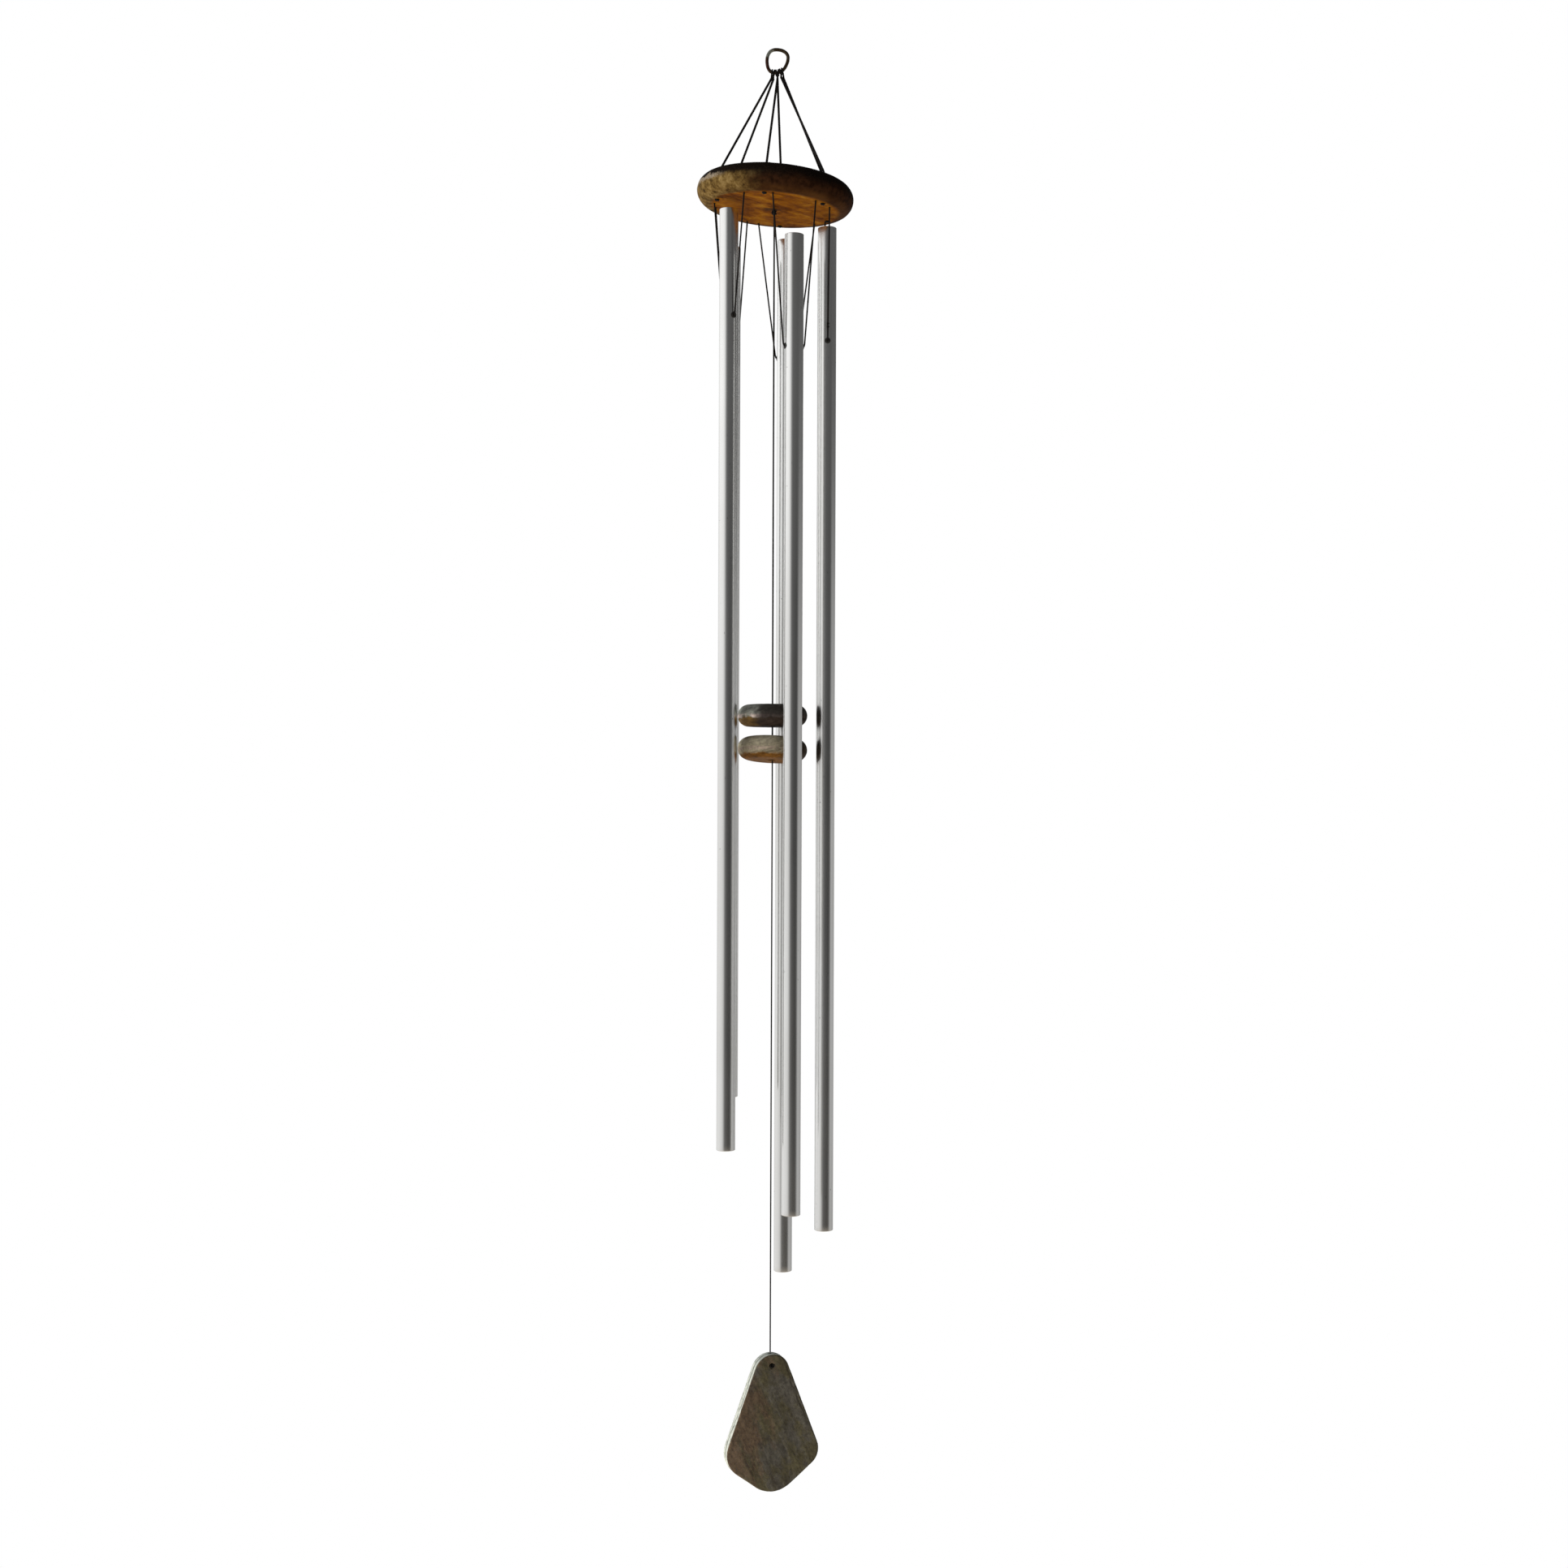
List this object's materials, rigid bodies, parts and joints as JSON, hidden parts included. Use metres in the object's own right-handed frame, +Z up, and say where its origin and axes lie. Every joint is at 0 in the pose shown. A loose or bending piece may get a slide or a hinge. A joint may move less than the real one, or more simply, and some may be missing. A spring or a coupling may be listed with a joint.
{
  "type": "wind chime",
  "caption": "Hanging wind chime: a ring and cords carry a thick wooden disc, aluminium tubes laced below it, wooden strikers on a centre cord, and a kite-shaped wooden sail.",
  "frame": {"origin": "the inside of the hanging ring's top, where the hook goes, straight above the ring's hitches", "axes": "+Z up along the chime's drop, +X to the right seen from the front, -Y to the front"},
  "size_m": [0.1595, 0.1599, 1.4713],
  "materials": {
    "ring_steel": "dull bronze-brown tarnish, paler where it is worn",
    "black_cord": "braided black cord",
    "disc_wood": "oiled hardwood, nearly black on the weathered rim, orange-brown below",
    "striker_wood": "weathered hardwood, grey-brown with cracks",
    "sail_wood": "weathered grey-brown board with a pale edge",
    "tube_aluminium": "satin-polished, lightly pitted",
    "grommet_rubber": "matte black"
  },
  "bodies": {
    "ring": {"hanging_ring": "ring_steel"},
    "hitches": {"ring_hitches": "black_cord"},
    "canopy": {"top_disc": "disc_wood", "suspension_cord_left_front": "black_cord", "suspension_cord_left_back": "black_cord", "suspension_cord_middle_front": "black_cord", "suspension_cord_middle_back": "black_cord", "suspension_cord_right_front": "black_cord", "suspension_cord_right_back": "black_cord", "suspension_knots": "black_cord", "lacing_stitches": "black_cord", "centre_anchor": "black_cord"},
    "cord_front_left": {"tube_cord_front_left": "black_cord"},
    "tube_front_left": {"chime_tube_front_left": "tube_aluminium", "grommets_front_left": "grommet_rubber"},
    "cord_front": {"tube_cord_front": "black_cord"},
    "tube_front": {"chime_tube_front": "tube_aluminium", "grommets_front": "grommet_rubber"},
    "cord_right": {"tube_cord_right": "black_cord", "tie_off_knot": "black_cord"},
    "tube_right": {"chime_tube_right": "tube_aluminium", "grommets_right": "grommet_rubber"},
    "cord_back": {"tube_cord_back": "black_cord"},
    "tube_back": {"chime_tube_back": "tube_aluminium", "grommets_back": "grommet_rubber"},
    "cord_back_left": {"tube_cord_back_left": "black_cord"},
    "tube_back_left": {"chime_tube_back_left": "tube_aluminium", "grommets_back_left": "grommet_rubber"},
    "centre_pivot": {"centre_cord_knot": "black_cord"},
    "centre_line": {"centre_cord": "black_cord", "upper_striker_knot": "black_cord"},
    "upper_striker": {"upper_striker": "striker_wood"},
    "lower_striker": {"lower_striker": "striker_wood"},
    "tail_pivot": {"lower_striker_knot": "black_cord"},
    "tail_line": {"tail_cord": "black_cord"},
    "sail": {"sail": "sail_wood", "sail_knot": "black_cord"}
  },
  "joints": [
    {"name": "ring_swing_depth", "type": "hinge", "parent": "ring", "child": "hitches", "pos_m": [0, 0, -0.0218], "axis": [1, 0, 0], "range_deg": [-6, 6]},
    {"name": "ring_swing_across", "type": "hinge", "parent": "hitches", "child": "canopy", "pos_m": [0, 0, -0.0275], "axis": [0, -1, 0], "range_deg": [-6, 6]},
    {"name": "cord_swing_front_left", "type": "hinge", "parent": "canopy", "child": "cord_front_left", "pos_m": [-0.04651, -0.03062, -0.15893], "axis": [0.5417, -0.8385, -0.0593], "range_deg": [-4, 0.4]},
    {"name": "tube_swing_front_left", "type": "hinge", "parent": "cord_front_left", "child": "tube_front_left", "pos_m": [-0.04651, -0.03062, -0.27833], "axis": [0.5426, -0.84, 0], "range_deg": [-3, 0.5]},
    {"name": "cord_swing_front", "type": "hinge", "parent": "canopy", "child": "cord_front", "pos_m": [0.01902, -0.0542, -0.16447], "axis": [0.9314, 0.3583, -0.0641], "range_deg": [-4, 0.4]},
    {"name": "tube_swing_front", "type": "hinge", "parent": "cord_front", "child": "tube_front", "pos_m": [0.01902, -0.0542, -0.31332], "axis": [0.9333, 0.359, 0], "range_deg": [-3, 0.5]},
    {"name": "cord_swing_right", "type": "hinge", "parent": "canopy", "child": "cord_right", "pos_m": [0.05292, 0.00217, -0.16589], "axis": [0.0593, -0.9979, -0.0255], "range_deg": [-0.4, 4]},
    {"name": "tube_swing_right", "type": "hinge", "parent": "cord_right", "child": "tube_right", "pos_m": [0.05292, 0.00217, -0.29652], "axis": [0.0593, -0.9982, 0], "range_deg": [-0.5, 3]},
    {"name": "cord_swing_back", "type": "hinge", "parent": "canopy", "child": "cord_back", "pos_m": [0.0113, 0.05072, -0.16167], "axis": [0.9691, -0.2334, -0.0795], "range_deg": [-0.4, 4]},
    {"name": "tube_swing_back", "type": "hinge", "parent": "cord_back", "child": "tube_back", "pos_m": [0.0113, 0.05072, -0.30203], "axis": [0.9722, -0.2341, 0], "range_deg": [-0.5, 3]},
    {"name": "cord_swing_back_left", "type": "hinge", "parent": "canopy", "child": "cord_back_left", "pos_m": [-0.04559, 0.03123, -0.1577], "axis": [-0.5874, -0.8088, 0.0282], "range_deg": [-4, 0.4]},
    {"name": "tube_swing_back_left", "type": "hinge", "parent": "cord_back_left", "child": "tube_back_left", "pos_m": [-0.04559, 0.03123, -0.29236], "axis": [-0.5876, -0.8092, 0], "range_deg": [-3, 0.5]},
    {"name": "striker_swing_depth", "type": "hinge", "parent": "canopy", "child": "centre_pivot", "pos_m": [-0.0012, -0.00115, -0.1649], "axis": [1, 0, 0], "range_deg": [-0.85, 0.85]},
    {"name": "striker_swing_across", "type": "hinge", "parent": "centre_pivot", "child": "centre_line", "pos_m": [-0.0012, -0.00115, -0.1649], "axis": [0, -1, 0], "range_deg": [-0.85, 0.85]},
    {"name": "upper_striker_spin", "type": "hinge", "parent": "centre_line", "child": "upper_striker", "pos_m": [-0.0012, -0.00115, -0.6781], "axis": [0, 0, 1], "continuous": true},
    {"name": "lower_striker_spin", "type": "hinge", "parent": "centre_line", "child": "lower_striker", "pos_m": [-0.0012, -0.00115, -0.7124], "axis": [0, 0, 1], "continuous": true},
    {"name": "tail_swing_depth", "type": "hinge", "parent": "centre_line", "child": "tail_pivot", "pos_m": [-0.0012, -0.00115, -0.7216], "axis": [1, 0, 0], "range_deg": [-4, 4]},
    {"name": "tail_swing_across", "type": "hinge", "parent": "tail_pivot", "child": "tail_line", "pos_m": [-0.0012, -0.00115, -0.7216], "axis": [0, -1, 0], "range_deg": [-4, 4]},
    {"name": "sail_spin", "type": "hinge", "parent": "tail_line", "child": "sail", "pos_m": [-0.0012, -0.00115, -1.328], "axis": [0, 0, 1], "continuous": true}
  ]
}
